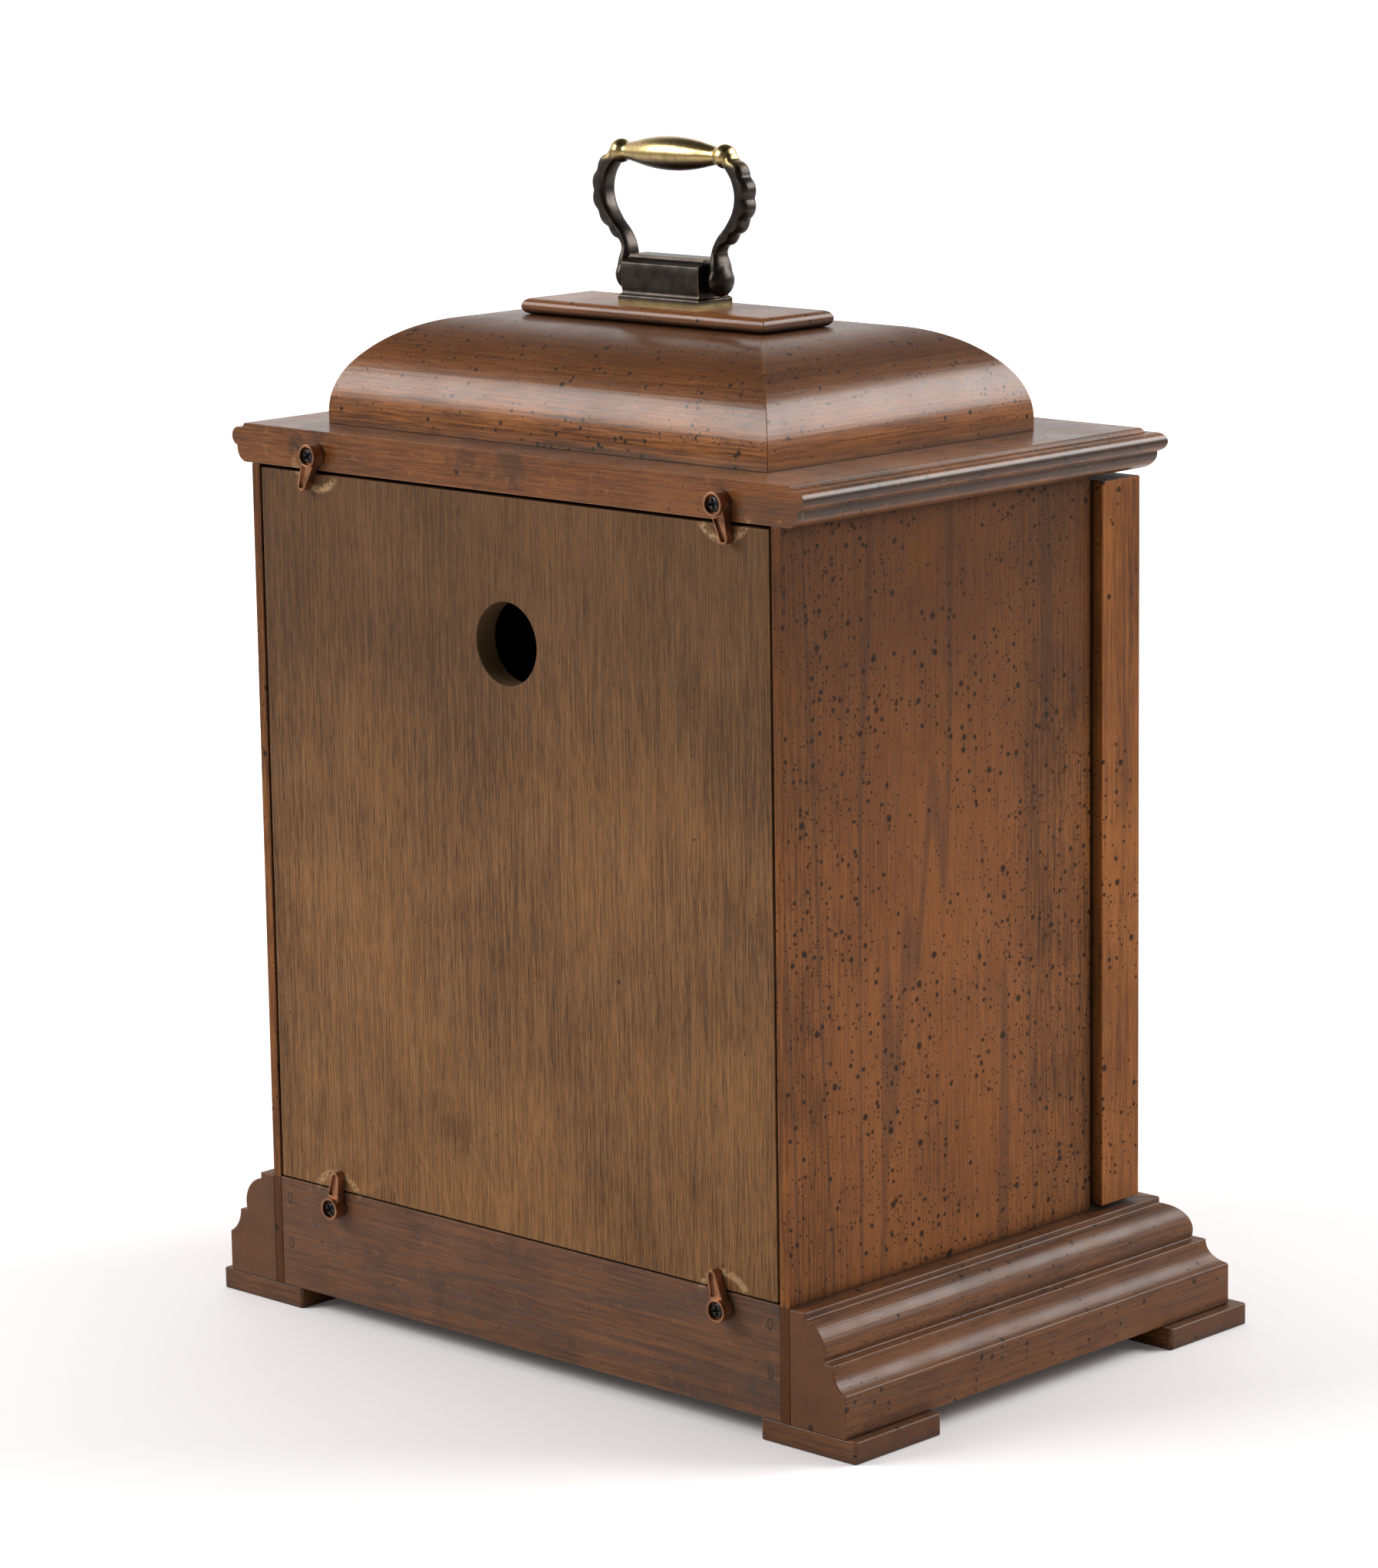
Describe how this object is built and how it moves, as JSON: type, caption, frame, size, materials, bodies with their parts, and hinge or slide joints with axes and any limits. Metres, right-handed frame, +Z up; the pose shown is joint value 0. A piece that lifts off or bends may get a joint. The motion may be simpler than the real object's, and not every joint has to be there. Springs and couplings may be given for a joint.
{
  "type": "bracket clock",
  "caption": "Spring-driven bracket clock in a moulded cherry case with a brass carrying handle, a hinged glazed door and a back panel held by turn buttons.",
  "frame": {"origin": "on the floor under the middle of the clock's bounding box", "axes": "+Z up, the dial and door face -Y, +X is to the right as seen from the dial"},
  "size_m": [0.3072, 0.2112, 0.4169],
  "materials": {
    "case_wood": "red-brown stained cherry, satin lacquer with a fine spatter of dark glaze",
    "back_ply": "olive-brown oiled plywood, fine upright grain",
    "inner_wood": "unfinished softwood and plywood",
    "rail_wood": "dark brown stain, dull",
    "antique_brass": "antiqued, dark in the hollows and polished where the hand rubs",
    "button_brass": "copper-tan cast brass, lightly tarnished",
    "dial_brass": "brushed and lacquered",
    "silvered": "silvered, circular grain",
    "movement_brass": "fine brushed",
    "steel": "bright steel",
    "black_steel": "blackened",
    "blued_steel": "blued and polished",
    "cast_iron": "black lacquer",
    "glass": "clear, polished"
  },
  "bodies": {
    "case": {"back_panel": "back_ply", "balance_platform": "movement_brass", "base_back_rail": "rail_wood", "base_moulding_front": "case_wood", "base_moulding_left": "case_wood", "base_moulding_right": "case_wood", "case_side_left": "case_wood", "case_side_right": "case_wood", "chapter_ring": "silvered", "dial_board": "inner_wood", "dial_plate": "dial_brass", "dome_back": "case_wood", "dome_front": "case_wood", "dome_left": "case_wood", "dome_right": "case_wood", "floor_board": "inner_wood", "foot_front_left": "case_wood", "foot_front_right": "case_wood", "foot_rear_left": "case_wood", "foot_rear_right": "case_wood", "gong_block": "cast_iron", "gong_rods": "steel", "handle_bolts": "steel", "handle_bracket": "antique_brass", "handle_pivots": "steel", "handle_plinth": "case_wood", "hinge_leaves_case": "dial_brass", "hinge_pins": "steel", "movement_back_plate": "movement_brass", "movement_front_plate": "movement_brass", "movement_pillars": "movement_brass", "movement_posts": "movement_brass", "spandrels": "dial_brass", "spring_barrels": "movement_brass", "top_board": "case_wood", "turn_button_screws": "black_steel"},
    "door": {"door_stile_left": "case_wood", "door_stile_right": "case_wood", "door_rail_top": "case_wood", "door_rail_bottom": "case_wood", "door_glass": "glass", "glass_beads": "inner_wood", "hinge_leaves_door": "dial_brass"},
    "door_knob": {"door_knob": "antique_brass"},
    "handle_bail": {"handle_bail": "antique_brass"},
    "turn_button_top_left": {"turn_button_top_left": "button_brass"},
    "turn_button_top_right": {"turn_button_top_right": "button_brass"},
    "turn_button_low_left": {"turn_button_low_left": "button_brass"},
    "turn_button_low_right": {"turn_button_low_right": "button_brass"},
    "minute_work": {"centre_arbor": "steel", "cannon_pinion": "movement_brass", "minute_hand": "blued_steel", "hand_nut": "blued_steel"},
    "hour_work": {"hour_wheel": "movement_brass", "hour_hand": "blued_steel"},
    "minute_wheel": {"minute_wheel": "movement_brass"},
    "winding_arbor_going": {"winding_arbor_going": "steel"},
    "winding_arbor_strike": {"winding_arbor_strike": "steel"},
    "balance_wheel": {"balance_wheel": "movement_brass"},
    "strike_hammer": {"strike_hammer": "movement_brass"}
  },
  "joints": [
    {"name": "door_hinge", "type": "hinge", "parent": "case", "child": "door", "pos_m": [0.131, -0.055, 0.175], "axis": [0, 0, 1], "range_deg": [0, 180]},
    {"name": "door_knob_turn", "type": "hinge", "parent": "door", "child": "door_knob", "pos_m": [-0.1064, -0.07, 0.175], "axis": [0, -1, 0], "range_deg": [0, 90]},
    {"name": "handle_swing", "type": "hinge", "parent": "case", "child": "handle_bail", "pos_m": [0, 0.0166, 0.3693], "axis": [1, 0, 0], "range_deg": [-104, 104]},
    {"name": "button_top_left_turn", "type": "hinge", "parent": "case", "child": "turn_button_top_left", "pos_m": [-0.1, 0.1006, 0.3099], "axis": [0, 1, 0], "continuous": true},
    {"name": "button_top_right_turn", "type": "hinge", "parent": "case", "child": "turn_button_top_right", "pos_m": [0.0913, 0.1006, 0.3096], "axis": [0, 1, 0], "continuous": true},
    {"name": "button_low_left_turn", "type": "hinge", "parent": "case", "child": "turn_button_low_left", "pos_m": [-0.0965, 0.1006, 0.0419], "axis": [0, 1, 0], "continuous": true},
    {"name": "button_low_right_turn", "type": "hinge", "parent": "case", "child": "turn_button_low_right", "pos_m": [0.0908, 0.1006, 0.0419], "axis": [0, 1, 0], "continuous": true},
    {"name": "minute_turn", "type": "hinge", "parent": "case", "child": "minute_work", "pos_m": [0, -0.03, 0.175], "axis": [0, 1, 0], "continuous": true},
    {"name": "hour_turn", "type": "hinge", "parent": "case", "child": "hour_work", "pos_m": [0, -0.03, 0.175], "axis": [0, 1, 0], "continuous": true},
    {"name": "minute_wheel_turn", "type": "hinge", "parent": "case", "child": "minute_wheel", "pos_m": [0, -0.03, 0.1894], "axis": [0, 1, 0], "continuous": true},
    {"name": "winding_going_turn", "type": "hinge", "parent": "case", "child": "winding_arbor_going", "pos_m": [0.027, -0.03, 0.153], "axis": [0, 1, 0], "continuous": true},
    {"name": "winding_strike_turn", "type": "hinge", "parent": "case", "child": "winding_arbor_strike", "pos_m": [-0.027, -0.03, 0.153], "axis": [0, 1, 0], "continuous": true},
    {"name": "balance_swing", "type": "hinge", "parent": "case", "child": "balance_wheel", "pos_m": [0, -0.002, 0.2533], "axis": [0, 0, 1], "range_deg": [-135, 135]},
    {"name": "hammer_lift", "type": "hinge", "parent": "case", "child": "strike_hammer", "pos_m": [-0.048, 0.03, 0.114], "axis": [0, -1, 0], "range_deg": [0, 18]}
  ],
  "couplings": [
    {"joint": "hour_turn", "follows": "minute_turn", "ratio": 0.083333},
    {"joint": "minute_wheel_turn", "follows": "minute_turn", "ratio": -0.33333}
  ]
}
